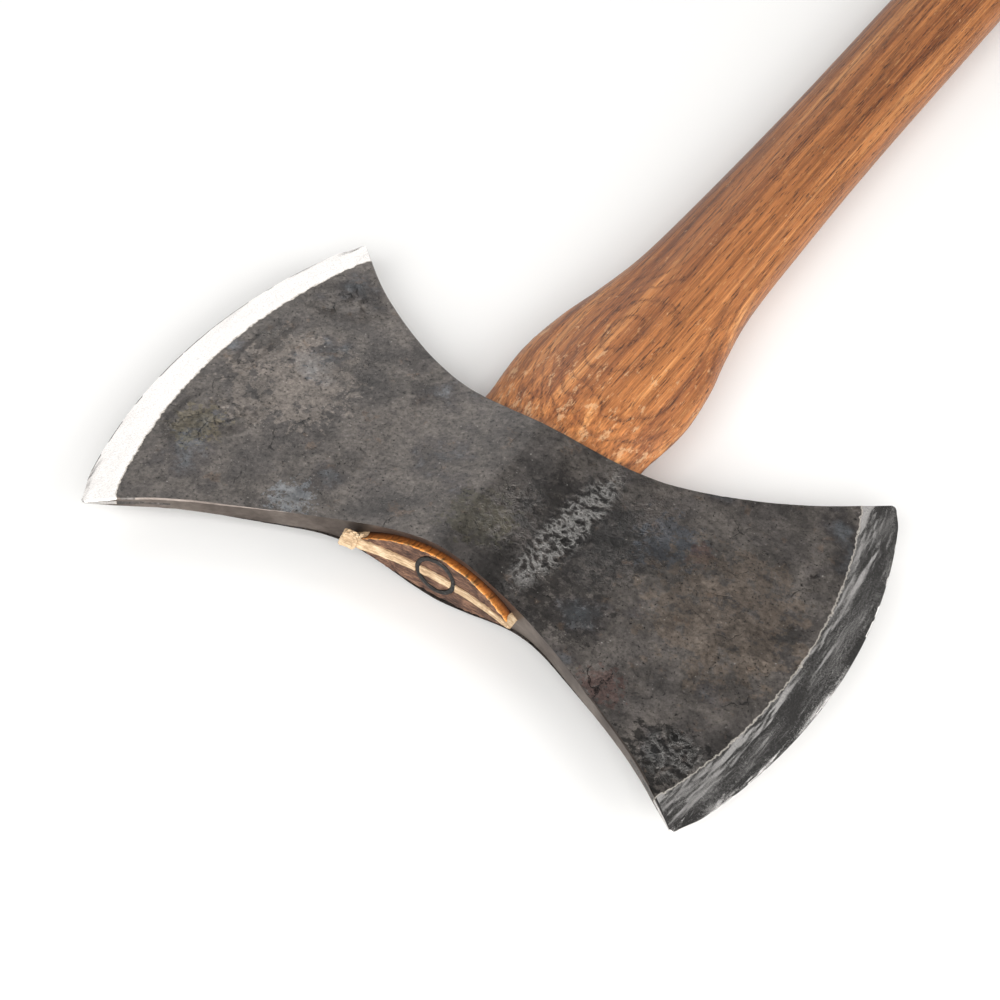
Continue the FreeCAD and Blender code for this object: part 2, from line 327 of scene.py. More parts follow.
class Finish:
    """What a surface is made of: a material of nodes that follow the piece's own coordinates."""

    name: str

    def shader(self, add: Adder, place: bpy.types.NodeSocket) -> bpy.types.Node:
        """Adds the finish's nodes.

        Args:
            add: add_node, bound to the material's tree.
            place: the place on the piece.

        Returns:
            The shader that the material shows.
        """
        raise NotImplementedError

    def build(self) -> bpy.types.Material:
        """Makes the material."""
        material = bpy.data.materials.new(self.name)
        material.use_nodes = True
        material.node_tree.nodes.clear()
        add = partial(add_node, material.node_tree)
        add(Kind.OUTPUT, self.shader(add, add(Kind.COORDS).outputs["Object"]))
        return material


def dress(piece: bpy.types.Object, *finishes: Finish) -> None:
    """Gives a piece its finishes, one for each material index."""
    for finish in finishes:
        piece.data.materials.append(finish.build())


@dataclass(frozen=True)
class Patch:
    """A stain or painted shade on the forged cheek: its middle and radius in millimetres, its colour and strength."""

    x: float
    y: float
    radius: float
    colour: str
    amount: float


@dataclass(frozen=True)
class ForgedSteel(Finish):
    """Carbon steel forged and oil-quenched, its black scale left on and lacquered, with the bits ground bright.

    The scale gives a near black, slightly warm skin with a soft broken gloss, flakes, pits and a few fine cracks. The
    ground bevels are bare metal: close to a mirror, scratched across the edge by the wheel.
    """

    eye: Eye
    name: str = "forged_steel_scale"
    scale_roughness: tuple[float, float] = (0.26, 0.46)
    bevel_roughness: tuple[float, float] = (0.08, 0.24)
    patches: tuple[Patch, ...] = (
        Patch(-88, 6, 32, "#978c82", 0.38),
        Patch(-103, -30, 14, "#857a5c", 0.35),
        Patch(-55, -40, 11, "#8b9196", 0.42),
        Patch(59, 17, 17, "#464f59", 0.45),
        Patch(71, -47, 11, "#5c3a33", 0.40),
        Patch(71, 19, 7, "#6b4036", 0.30),
        Patch(90, 0, 38, "#766759", 0.45),
        Patch(6, -17, 16, "#4b4830", 0.40),
        # painted shade beside the hump's right foot, where the cheek is turned from the light
        Patch(44, -26, 20, "#1d1b1a", 0.62),
        Patch(100, -60, 20, "#171513", 0.85),
        # painted shade on the hump's right flank, which is turned from the light
        Patch(34, 4, 30, "#262525", 0.62),
    )

    def shader(self, add: Adder, place: bpy.types.NodeSocket) -> bpy.types.Node:
        """Adds the finish's nodes, as Finish.shader says."""
        drift = add(Kind.NOISE, place, per_mm(9), 4.0)
        warped = add(Kind.PUSH, drift.outputs["Color"], (0.004, 0.004, 0.004), place)
        skin, bare = self.scale_skin(add, place, warped), self.bare_metal(add, place)
        depth = add(Kind.LAYER, attribute_name="ground").outputs["Fac"]
        ragged = add(Kind.NOISE, place, per_mm(2.4), 6.0, 0.7)
        shifted = add(Kind.TIMES_PLUS, ragged, 0.26, depth)
        share = add(Kind.RANGE, shifted, 0.125, 0.15)
        # The wheel's last pass leaves a burr of pale, rough metal along the bevel's inner line.
        inside = add(Kind.RANGE, shifted, 0.19, 0.15)
        edged = add(Kind.BLEND, inside, bare, add(Kind.SHADER, "#d9d2c8", 0.55, 0.9))
        return add(Kind.BLEND, share, skin, edged)

    def scale_skin(self, add: Adder, place: bpy.types.NodeSocket, warped: bpy.types.Node) -> bpy.types.Node:
        """The black skin of the cheeks.

        Args:
            add: adds a node.
            place: the place on the head.
            warped: the same, pushed about a little.

        Returns:
            Its shader.
        """
        flaked, crumpled = (add(Kind.LAYER, attribute_name=n).outputs["Fac"] for n in ("flaked", "crumpled"))
        broad = add(Kind.NOISE, warped, per_mm(30), 6.0, 0.62)
        colour = add(Kind.RAMP, broad, ramp=((0.30, "#3c3937"), (0.72, "#686c70"), (0.44, "#544f4c"),
                                             (0.53, "#635d58"), (0.60, "#4f4a48")))
        for patch in self.patches:
            centre = self.eye.place(patch.x, patch.y, 0)
            flat = add(Kind.STRETCH, warped, (1, 1, 0))
            away = add(Kind.VECTOR, flat, centre, operation="DISTANCE").outputs["Value"]
            near = add(Kind.RANGE, away, 1.3 * patch.radius * MM, 0.3 * patch.radius * MM, 0, 0.24,
                       interpolation_type="SMOOTHSTEP")
            mottle = add(Kind.NOISE, place, per_mm(1.2 + 0.11 * patch.radius), 9.0, 0.72)
            amount = add(Kind.RANGE, add(Kind.PLUS, near, mottle), 0.66, 0.70, 0, patch.amount)
            colour = add(Kind.TINT, amount, colour, patch.colour)
        rust = add(Kind.NOISE, warped, per_mm(8), 8.0, 0.7)
        colour = add(Kind.TINT, add(Kind.RANGE, rust, 0.60, 0.66, 0, 0.40), colour, "#6e5a4a")
        # Fine mottle, partly the scale's own tone and partly painted light: lighter where the same noise raises the
        # skin below.
        fine = add(Kind.NOISE, place, per_mm(1.8), 8.0, 0.72)
        colour = add(Kind.SHADE, 1.0, colour, add(Kind.RANGE, fine, 0.3, 0.7, 0.46, 1.58))
        # Scale lies in thin leaves: terraces whose steps catch the light. Heights here are in millimetres.
        leaf = add(Kind.NOISE, warped, per_mm(13), 8.0, 0.62)
        terrace = add(Kind.MATH, leaf, 0.055, operation="SNAP")
        height = add(Kind.TIMES, terrace, add(Kind.RANGE, flaked, 0, 1, 0.8, 5.0))
        colour = add(Kind.SHADE, 1.0, colour, add(Kind.RANGE, leaf, 0.40, 0.60, 0.68, 1.28))
        height = add(Kind.TIMES_PLUS, fine, 0.26, height)
        # Fine wrinkles, where the skin shrank as it cooled.
        wrinkle = add(Kind.RIDGES, warped, per_mm(9), 5.0, 0.5, 0.9, 2.0)
        height = add(Kind.TIMES_PLUS, wrinkle, 0.10, height)
        crease = add(Kind.TIMES, add(Kind.RANGE, wrinkle, 1.25, 1.5), flaked)
        colour = add(Kind.TINT, crease, colour, "#171513")
        height = add(Kind.TIMES_PLUS, crease, -0.35, height)
        # Cracks wander where the scale has let go.
        frayed = add(Kind.NOISE, place, per_mm(3), 5.0, 0.65)
        torn = add(Kind.PUSH, frayed.outputs["Color"], (0.003, 0.003, 0.003), warped)
        cells = add(Kind.CELLS, torn, per_mm(15))
        line = add(Kind.RANGE, cells, 0.016, 0.004)                # thin: only what lies close to a cell's edge
        where = add(Kind.NOISE, place, per_mm(12), 3.0)
        eased = add(Kind.TIMES_PLUS, flaked, 0.14, where)
        only = add(Kind.RANGE, eased, 0.58, 0.68, 0, 0.8)
        crack = add(Kind.TIMES, line, only)
        colour = add(Kind.TINT, crack, colour, "#0b0a09")
        height = add(Kind.TIMES_PLUS, crack, -0.30, height)
        # Pits, sunk in the bump and darkened with painted shade.
        dots = add(Kind.NOISE, place, per_mm(0.9), 3.0, 0.6)
        pit = add(Kind.RANGE, dots, 0.38, 0.31)
        colour = add(Kind.TINT, pit, colour, "#121110")
        height = add(Kind.TIMES_PLUS, pit, -0.10, height)
        # Where the hot skin was crushed it crumpled like foil.
        foil = add(Kind.RIDGES, warped, per_mm(3.6), 6.0, 0.7, 0.9, 2.0)
        height = add(Kind.TIMES_PLUS, foil, add(Kind.TIMES, crumpled, 0.55), height)
        # The crests are lightened, partly as rubbed scale and partly as a painted highlight, and the hollows between
        # them darkened as painted shade.
        worst = add(Kind.MATH, crumpled, 2.5, operation="POWER")
        rubbed = add(Kind.TIMES, add(Kind.RANGE, foil, 0.8, 1.7, 0, 0.62), worst)
        hollow = add(Kind.TIMES, add(Kind.RANGE, foil, 0.75, 0.3, 0, 0.6), worst)
        colour = add(Kind.TINT, hollow, colour, "#141312")
        colour = add(Kind.TINT, rubbed, colour, "#b9b6b2")
        # Painted glints: bright specks that stand in for the sparkle of the scale's fine bumps.
        painted_glint = add(Kind.RANGE, dots, 0.70, 0.74)
        colour = add(Kind.TINT, painted_glint, colour, "#aaa59f")
        # The crumple's pale crests and the painted glints are made less metallic.
        worn = add(Kind.MATH, rubbed, painted_glint, operation="MAXIMUM")
        metal = add(Kind.RANGE, worn, 0, 1, 0.78, 0.45)
        shape = add(Kind.BUMP, height, 1.0, MM)
        dull = add(Kind.RANGE, leaf, 0.35, 0.65, *self.scale_roughness)
        rough = add(Kind.TIMES_PLUS, crumpled, -0.12, dull)
        return add(Kind.SHADER, colour, rough, metal, shape, named={"Coat Weight": 0.25, "Coat Roughness": 0.15})

    def bare_metal(self, add: Adder, place: bpy.types.NodeSocket) -> bpy.types.Node:
        """The ground bevels, with the wheel's marks running across the edge.

        Args:
            add: adds a node.
            place: the place on the head.

        Returns:
            Its shader.
        """
        centred = add(Kind.VECTOR, place, self.eye.place(0, 0, 0), operation="SUBTRACT")
        axes = add(Kind.SPLIT, centred)
        out = add(Kind.PLUS, add(Kind.MATH, axes.outputs["X"], operation="ABSOLUTE"), 80 * MM)
        turn = add(Kind.MATH, axes.outputs["Y"], out, operation="ARCTAN2")
        along = add(Kind.TIMES, turn, 212 * MM)
        radius = add(Kind.VECTOR, add(Kind.JOIN, out, axes.outputs["Y"]), operation="LENGTH").outputs["Value"]
        across = add(Kind.TIMES, radius, 0.07)
        polar = add(Kind.JOIN, along, across, axes.outputs["X"])
        scratch = add(Kind.NOISE, polar, per_mm(0.55), 5.0, 0.75)
        band = add(Kind.JOIN, add(Kind.TIMES, turn, 45 * MM), radius, axes.outputs["X"])
        cloud = add(Kind.NOISE, band, per_mm(6), 5.0, 0.6)
        wave = add(Kind.NOISE, band, per_mm(11), 3.0, 0.5)
        tint = add(Kind.RAMP, scratch, ramp=((0.3, "#b4b1af"), (0.7, "#dfdbd7")))
        smear = add(Kind.TIMES_PLUS, cloud, 0.6, add(Kind.TIMES, scratch, 0.4))
        rough = add(Kind.RANGE, smear, 0.42, 0.58, *self.bevel_roughness)
        height = add(Kind.TIMES_PLUS, wave, 0.55, add(Kind.TIMES, scratch, 0.006))
        shape = add(Kind.BUMP, height, 1.0, MM)
        return add(Kind.SHADER, tint, rough, 1.0, shape)


@dataclass(frozen=True)
class GroundRim(Finish):
    """The head's narrow top and underside, belt-ground after forging: dull brown-grey steel with a satin sheen."""

    name: str = "ground_steel_rim"

    def shader(self, add: Adder, place: bpy.types.NodeSocket) -> bpy.types.Node:
        """Adds the finish's nodes, as Finish.shader says."""
        drawn = add(Kind.STRETCH, place, (0.08, 1.0, 1.0))
        lines = add(Kind.NOISE, drawn, per_mm(1.3), 6.0, 0.7)
        cloud = add(Kind.NOISE, place, per_mm(16), 5.0)
        colour = add(Kind.RAMP, cloud, ramp=((0.35, "#574f4a"), (0.65, "#7d746d"), (0.5, "#6a615b")))
        colour = add(Kind.SHADE, 1.0, colour, add(Kind.RANGE, lines, 0.3, 0.7, 0.75, 1.2))
        shape = add(Kind.BUMP, lines, 0.7, 0.05 * MM)
        return add(Kind.SHADER, colour, 0.42, 0.85, shape)


@dataclass(frozen=True)
class OiledHickory(Finish):
    """Hickory turned and sanded along the grain, then soaked in linseed oil.

    The oil turns it orange-brown with a low sheen. Growth rings show as long streaks that close into ovals where the
    swell cuts across them, and open pores as short dark dashes.
    """

    eye: Eye
    name: str = "oiled_hickory"
    ring_mm: float = 2.3
    pore_mm: float = 0.45

    def shader(self, add: Adder, place: bpy.types.NodeSocket) -> bpy.types.Node:
        """Adds the finish's nodes, as Finish.shader says."""
        # Growth rings lie nearly flat in the billet, so the haft's own curves draw them as streaks and ovals.
        slow = add(Kind.STRETCH, place, (1.0, 0.07, 1.0))
        sway = add(Kind.NOISE, slow, per_mm(22), 4.0, 0.5)
        tilt = add(Kind.VECTOR, place, (0.22, 0.006, 1.0), operation="DOT_PRODUCT").outputs["Value"]
        level = add(Kind.TIMES_PLUS, sway, 7 * MM, tilt)
        # Where the swell cuts across them the rings close into ovals.
        around = add(Kind.VECTOR, place, self.eye.place(-9, 86, 0), operation="SUBTRACT")
        around = add(Kind.STRETCH, around, (1.0, 0.55, 0.0))
        ragged = add(Kind.NOISE, place, per_mm(2.5), 3.0)
        away = add(Kind.VECTOR, around, operation="LENGTH").outputs["Value"]
        away = add(Kind.TIMES_PLUS, ragged, 3 * MM, away)
        oval = add(Kind.RANGE, away, 27 * MM, 2 * MM, 0, 8 * MM, interpolation_type="SMOOTHSTEP")
        level = add(Kind.PLUS, level, oval)
        count = add(Kind.TIMES, level, per_mm(self.ring_mm))
        ring = add(Kind.MATH, count, operation="FRACT")
        early = add(Kind.RAMP, ring, ramp=((0.0, "#ffffff"), (1.0, "#c0c0c0"), (0.12, "#b0b0b0"), (0.26, "#000000"),
                                           (0.84, "#303030")))
        fibres = add(Kind.STRETCH, place, (1.0, 0.014, 1.0))
        fibre = add(Kind.NOISE, fibres, per_mm(0.62), 5.0, 0.7)
        broad = add(Kind.NOISE, fibres, per_mm(5), 5.0, 0.62)
        colour = add(Kind.RAMP, broad, ramp=((0.34, "#7f4826"), (0.68, "#d2935a"), (0.45, "#9f6236"),
                                             (0.56, "#b77440")))
        dark = add(Kind.TIMES, early, 0.64)
        colour = add(Kind.TINT, dark, colour, "#6b3d22")
        colour = add(Kind.SHADE, 1.0, colour, add(Kind.RANGE, fibre, 0.3, 0.7, 0.50, 1.50))
        dash = add(Kind.STRETCH, place, (1.0, 0.06, 1.0))
        pores = add(Kind.NOISE, dash, per_mm(self.pore_mm), 2.5)
        crowded = add(Kind.TIMES_PLUS, early, 0.055, pores)
        pore = add(Kind.RANGE, crowded, 0.61, 0.67, 0, 0.75)
        colour = add(Kind.TINT, pore, colour, "#3b2114")
        flecks = add(Kind.RANGE, pores, 0.37, 0.31, 0, 0.5)
        colour = add(Kind.TINT, flecks, colour, "#d19a62")
        # The swell below the head is scuffed: pale torn spots where the oil has rubbed off.
        axes = add(Kind.SPLIT, place)
        swell = add(Kind.RANGE, axes.outputs["Y"], self.eye.place(0, 120, 0).y, self.eye.place(0, 60, 0).y, 0, 0.085)
        # and it is lighter towards the head.
        colour = add(Kind.SHADE, 1.0, colour, add(
            Kind.RANGE, axes.outputs["Y"], self.eye.place(0, 230, 0).y, self.eye.place(0, 70, 0).y, 0.80, 0.94))
        scuff = add(Kind.NOISE, add(Kind.STRETCH, place, (1.0, 0.4, 1.0)), per_mm(3.2), 8.0, 0.72)
        rubbed = add(Kind.PLUS, scuff, swell)
        worn = add(Kind.RANGE, rubbed, 0.64, 0.70, 0, 0.55)
        colour = add(Kind.TINT, worn, colour, "#dcb184")
        height = add(Kind.TIMES_PLUS, pore, -0.10, add(Kind.TIMES, fibre, 0.10))
        height = add(Kind.TIMES_PLUS, scuff, 0.10, height)
        shape = add(Kind.BUMP, height, 1.0, MM)
        rough = add(Kind.RANGE, fibre, 0.3, 0.7, 0.40, 0.58)
        return add(Kind.SHADER, colour, rough, 0.0, shape,
                   named={"IOR": 1.47, "Coat Weight": 0.10, "Coat Roughness": 0.35})


@dataclass(frozen=True)
class SawnWood(Finish):
    """Wood cut across or split along its grain and left as the tool left it: streaked and nearly matt."""

    name: str
    dark: str
    middle: str
    light: str
    stretch: tuple[float, float, float]
    grain_mm: float = 0.8
    depth_mm: float = 0.25

    def shader(self, add: Adder, place: bpy.types.NodeSocket) -> bpy.types.Node:
        """Adds the finish's nodes, as Finish.shader says."""
        drawn = add(Kind.STRETCH, place, self.stretch)
        fibre = add(Kind.NOISE, drawn, per_mm(self.grain_mm), 6.0, 0.7)
        cloud = add(Kind.NOISE, place, per_mm(6), 4.0)
        both = add(Kind.TIMES_PLUS, cloud, 0.3, add(Kind.TIMES, fibre, 0.7))
        colour = add(Kind.RAMP, both, ramp=((0.38, self.dark), (0.62, self.light), (0.5, self.middle)))
        shape = add(Kind.BUMP, fibre, 0.8, self.depth_mm * MM)
        return add(Kind.SHADER, colour, 0.7, 0.0, shape, named={"IOR": 1.45})


@dataclass(frozen=True)
class SplitFlank(Finish):
    """The tongue's side out of the steel: torn fibres, with painted shade below and a painted highlight at the rim."""

    eye: Eye
    name: str = "split_hickory_flank"

    def shader(self, add: Adder, place: bpy.types.NodeSocket) -> bpy.types.Node:
        """Adds the finish's nodes, as Finish.shader says."""
        # The real fibres are about 0.3 mm; they are drawn as coarse bundles, so that they show.
        drawn = add(Kind.STRETCH, place, (1.0, 0.12, 0.5))
        fibre = add(Kind.NOISE, drawn, per_mm(1.7), 3.0, 0.75)
        axes = add(Kind.SPLIT, place)
        square = add(Kind.TIMES, axes.outputs["X"], axes.outputs["X"])
        half = 0.5 * self.eye.length
        curve = self.eye.hollow / (half * half * MM)          # the end's own hollow, taken as a parabola
        below = add(Kind.TIMES_PLUS, square, curve, axes.outputs["Y"])
        below = add(Kind.TIMES_PLUS, fibre, 5.0 * MM, below)
        # The colour runs from a painted highlight along the rim, through the wood's own orange, to painted shade down
        # towards the steel.
        top = self.eye.place(0, self.eye.end_y + 2.2, 0).y
        colour = add(Kind.RAMP, add(Kind.RANGE, below, top, top + 4.6 * MM), ramp=(
            (0.0, "#f6c68a"), (1.0, "#1d0f08"), (0.14, "#d88d48"), (0.42, "#b06a30"), (0.72, "#6d3c16")))
        colour = add(Kind.SHADE, 1.0, colour, add(Kind.RANGE, fibre, 0.38, 0.62, 0.30, 1.9))
        shape = add(Kind.BUMP, fibre, 1.0, 1.2 * MM)
        return add(Kind.SHADER, colour, 0.6, 0.0, shape, named={"IOR": 1.45})


@dataclass(frozen=True)
class RingSteel(Finish):
    """Mild steel tube with a blued skin: charcoal, dull, with small bright nicks on its rim from the hammer."""

    name: str = "blued_ring_steel"

    def shader(self, add: Adder, place: bpy.types.NodeSocket) -> bpy.types.Node:
        """Adds the finish's nodes, as Finish.shader says."""
        worn = add(Kind.NOISE, place, per_mm(1.1), 6.0, 0.7)
        colour = add(Kind.RAMP, worn, ramp=((0.35, "#2a2928"), (0.72, "#8a8682"), (0.58, "#3c3b3a")))
        shape = add(Kind.BUMP, worn, 0.6, 0.1 * MM)
        return add(Kind.SHADER, colour, 0.45, 0.8, shape)


@dataclass(frozen=True)
class WhitePaint(Finish):
    """Matt emulsion, evenly rolled."""

    name: str = "matt_white_paint"

    def shader(self, add: Adder, place: bpy.types.NodeSocket) -> bpy.types.Node:
        """Adds the finish's nodes, as Finish.shader says."""
        return add(Kind.SHADER, "#f4f3f1", 0.9)


# ---- the head ------------------------------------------------------------------------------------------
class Cheek(Enum):
    """The two broad faces of the head."""

    UPPER = 1
    LOWER = -1


class Damage(Enum):
    """How the forged skin is roughened."""

    FLAKED = "flaked"
    CRUMPLED = "crumpled"


@dataclass(frozen=True)
class Scar:
    """A place where the forged skin is rougher: middle, half sizes and turn in millimetres and degrees, and depth."""

    x: float
    y: float
    half_x: float
    half_y: float
    turn: float
    depth: float
    damage: Damage = Damage.FLAKED

    def share(self, x: float, y: float) -> float:
        """How much of it reaches a point, from 0 to 1."""
        a = math.radians(self.turn)
        dx, dy = x - self.x, y - self.y
        u = (dx * math.cos(a) + dy * math.sin(a)) / self.half_x
        v = (-dx * math.sin(a) + dy * math.cos(a)) / self.half_y
        return 1 - smooth_step(math.hypot(u, v), 0.45, 1.15)


@dataclass
class AxeHead:
    """The forged double-bit head. Millimetres, from the middle of the eye."""

    eye: Eye
    reach_left: float = 133.4
    reach_right: float = 130.2
    shift_left: float = 1.6
    shift_right: float = -1.8
    bit_width: float = 165.6
    edge_radius: float = 212.0
    corner_radius: float = 1.5
    corner_pull: float = 1.2           # honing has worn the ends of the edge back by this much,
    pull_span: tuple = (70.0, 80.5)    # growing between these heights
    wall: float = 4.1
    hump_runout: float = 14.5
    hump_power: float = 2.2
    half_at_edge: float = 1.0
    taper: float = 0.0385
    crown: float = 0.32
    bevel_crown: float = 0.29
    crown_runin: float = 35.0
    edge_half: float = 0.12
    hone_depth: float = 1.5
    hone_half: float = 0.45
    bevel_depth: float = 12.5
    bevel_half: float = 1.9
    bevel_belly: float = 0.11           # hand grinding leaves the bevel a little convex
    soft_edge: float = 0.45            # chamfer where the cheeks meet the narrow faces
    cell: float = 1.05                 # mesh spacing over most of the cheek
    fine_cell: float = 0.6             # and beside the cutting edges,
    fine_band: float = 14.0            # this far in from them
    run_on: float = 25.0               # the narrow faces' lines go on past the corners
    bit_from: float = 100.0            # the wheel has touched the narrow faces' chamfer from here out
    edge_from: float = 90.0            # and from here out what is thinner than
    edge_thin: float = 0.9             # this is bevel
    wall_rows: int = 4
    layers: tuple = ("ground", "flaked", "crumpled")   # kept on the vertices for the finish to read
    top_flare: tuple = ((0.0, 0.0), (0.16, 0.015), (0.32, 0.083), (0.47, 0.235), (0.64, 0.44), (0.8, 0.65), (1.0, 1.0))
    under_flare: tuple = ((0.0, 0.0), (0.14, 0.035), (0.28, 0.11), (0.47, 0.245), (0.69, 0.49), (0.86, 0.735),
                          (1.0, 1.0))
    scars: tuple = (
        Scar(-101, 50, 17, 11, 12, 0.34),
        Scar(-98, -22, 9, 17, -20, 0.26),
        Scar(-111, -28, 6, 16, 0, 0.22),
        Scar(-112, 14, 5, 24, 0, 0.16),
        Scar(28, -3, 8, 40, -3, 0.40, Damage.CRUMPLED),
        Scar(10, -12, 13, 22, 0, 0.16, Damage.CRUMPLED),
        Scar(46, 6, 13, 36, 0, 0.12, Damage.CRUMPLED),
        Scar(68, 38, 16, 14, 0, 0.10),
        Scar(74, -46, 18, 10, 30, 0.20),
        Scar(96, -14, 14, 24, 0, 0.20),
        Scar(108, 24, 8, 22, 10, 0.22),
        Scar(100, -58, 13, 12, 30, 0.26, Damage.CRUMPLED),
    )

    def __post_init__(self) -> None:
        """Works out the sizes that follow from the fields."""
        self.reach = 0.5 * (self.reach_left + self.reach_right)
        self.toe_y = 0.5 * self.bit_width
        self.toe_x = self.reach - self.edge_radius + math.sqrt(self.edge_radius ** 2 - self.toe_y ** 2)
        self.half = 0.5 * self.eye.width_top + self.wall
        self.hump_reach = 0.5 * self.eye.length + self.hump_runout
        self.flares = {-1: self.flare_line(self.top_flare, self.eye.top),
                       1: self.flare_line(self.under_flare, self.eye.bottom)}

    def flare_line(self, flare: Sequence[tuple[float, float]], start: float) -> SmoothLine:
        """The distance of a narrow face from the eye's middle line, along the bit.

        Args:
            flare: share of the rise reached at a share of the way to the corner.
            start: the distance at the eye.

        Returns:
            The curve, run on a little past the corner.
        """
        points = [(f * self.toe_x, start + g * (self.toe_y - start)) for f, g in flare]
        (xa, ya), (xb, yb) = points[-2:]
        points.append((xb + self.run_on, yb + self.run_on * (yb - ya) / (xb - xa)))
        return SmoothLine(points, level_start=True)

    def arc_centre(self, side: int) -> Vector:
        """The centre that one cutting edge sweeps about."""
        reach, shift = (self.reach_right, self.shift_right) if side > 0 else (self.reach_left, self.shift_left)
        return Vector((side * (reach - self.edge_radius), shift))

    def edge_at(self, y: float) -> float:
        """How far the cutting edge lies from its arc's centre at a height."""
        return self.edge_radius - self.corner_pull * smooth_step(abs(y), *self.pull_span)

    def half_thickness(self, x: float, y: float) -> tuple[float, float, float]:
        """Half the head's thickness at a point of its mid-plane.

        Args:
            x: along the bits.
            y: along the haft.

        Returns:
            The half thickness, how much the wheel has taken off there (less than nothing where it hasn't reached), and
            the distance behind the cutting edge.
        """
        out = abs(x)
        behind = self.edge_radius - math.hypot(out + self.edge_radius - self.reach, y)
        bit = self.half_at_edge + self.taper * behind
        rim = self.eye.top + (self.toe_y - self.eye.top) * (out / self.toe_x) ** 2
        t = y / rim
        crown = self.crown * (1 - t * t) / (1 + t * t)
        even = smooth_step(behind, self.bevel_depth - 2, self.bevel_depth + self.crown_runin)
        crown = self.bevel_crown + (crown - self.bevel_crown) * even
        bit *= 1 + crown * smooth_step(out, 0.4 * self.hump_reach, 1.3 * self.hump_reach)
        middle = self.half_at_edge + self.taper * self.reach
        bell = math.cos(0.5 * math.pi * min(1.0, out / self.hump_reach)) ** self.hump_power
        cheek = bit + (self.half - middle) * bell
        depth = self.edge_at(y) - (Vector((x, y)) - self.arc_centre(1 if x > 0 else -1)).length
        if depth > self.hone_depth:
            slope = (self.bevel_half - self.hone_half) / (self.bevel_depth - self.hone_depth)
            ground = self.hone_half + slope * (depth - self.hone_depth)
        else:
            ground = self.edge_half + (self.hone_half - self.edge_half) * max(0.0, depth) / self.hone_depth
        return min(cheek, ground), cheek - ground, depth

    def relief(self, x: float, y: float, cheek: Cheek, ground: float) -> float:
        """How far the forged skin stands above the smooth form, or below it.

        Args:
            x: along the bits.
            y: along the haft.
            cheek: which broad face.
            ground: how much the wheel has taken off.

        Returns:
            The height, in millimetres.
        """
        skin = 1 - smooth_step(ground, -0.25, -0.02)
        seed = 50.0 * cheek.value
        wave = 0.20 * fractal(x, y, seed, 26) + 0.10 * fractal(x, y, seed + 7, 9)
        if skin <= 0:
            return 0.05 * fractal(x, y, seed, 10) + self.belly(x, y)
        dents = noise.voronoi(Vector((x / 13, y / 13, seed)), distance_metric="DISTANCE", exponent=2.5)[0][0]
        flaked, crumpled = self.damage(x, y, cheek)
        leaf = fractal(x + 3, y, seed + 20, 6.5, 4)
        torn = smooth_step(leaf, -0.05, 0.03) + 0.6 * smooth_step(leaf, 0.22, 0.28)
        crumple = fractal(x, 0.7 * y, seed + 40, 4.2, 3)
        return skin * (wave + 0.09 * (dents - 0.5) + (0.03 + 0.42 * flaked) * (0.9 * torn - 0.8 + 0.4 * crumple)
                       + 0.55 * crumpled * crumple)

    def belly(self, x: float, y: float) -> float:
        """How far a hand-ground bevel swells above the flat one that the sizes give."""
        depth = self.half_thickness(x, y)[2]
        across = min(1.0, max(0.0, (depth - self.hone_depth) / (self.bevel_depth - self.hone_depth)))
        return 4 * self.bevel_belly * across * (1 - across)

    def damage(self, x: float, y: float, cheek: Cheek) -> tuple[float, float]:
        """How flaked and how crumpled the skin is at a place.

        Args:
            x: along the bits.
            y: along the haft.
            cheek: which broad face. The lower one has its damage the other way about.

        Returns:
            Two shares from 0 to 1.
        """
        worst = {kind: 0.0 for kind in Damage}
        for scar in self.scars:
            worst[scar.damage] = max(worst[scar.damage], scar.depth / 0.34 * scar.share(x * cheek.value, y))
        return min(1.0, worst[Damage.FLAKED]), min(1.0, worst[Damage.CRUMPLED])

    def corner(self, side: int, face: int) -> tuple[Vector, Vector, Vector]:
        """The rounding where a cutting edge meets a narrow face.

        Args:
            side: 1 for the +X bit, -1 for the other.
            face: -1 for the head's top, 1 for its underside.

        Returns:
            The rounding's centre, its end on the cutting edge and its end on the narrow face.
        """
        line, hub, r = self.flares[face], self.arc_centre(side), self.corner_radius
        sweep = self.edge_radius - self.corner_pull

        def inner(out: float) -> tuple[Vector, Vector]:
            """A point of the narrow face, and the centre of a rounding that touches it there."""
            rim = Vector((side * out, face * line.at(out)))
            inward = Vector((side * line.slope(out), -face)).normalized()
            return rim, rim + inward * r

        low, high = 0.6 * self.toe_x, self.toe_x + 12
        for _ in range(50):
            middle = 0.5 * (low + high)
            if (inner(middle)[1] - hub).length < sweep - r:
                low = middle
            else:
                high = middle
        rim, centre = inner(low)
        return centre, hub + (centre - hub).normalized() * sweep, rim

    def rounding(self, centre: Vector, start: Vector, end: Vector, steps: int) -> list[Vector]:
        """Points of the corner's arc from start to end, both included."""
        a = math.atan2(*(start - centre).yx)
        turn = (math.atan2(*(end - centre).yx) - a + math.pi) % (2 * math.pi) - math.pi
        angles = [a + turn * k / steps for k in range(steps + 1)]
        return [centre + self.corner_radius * Vector((math.cos(t), math.sin(t))) for t in angles]

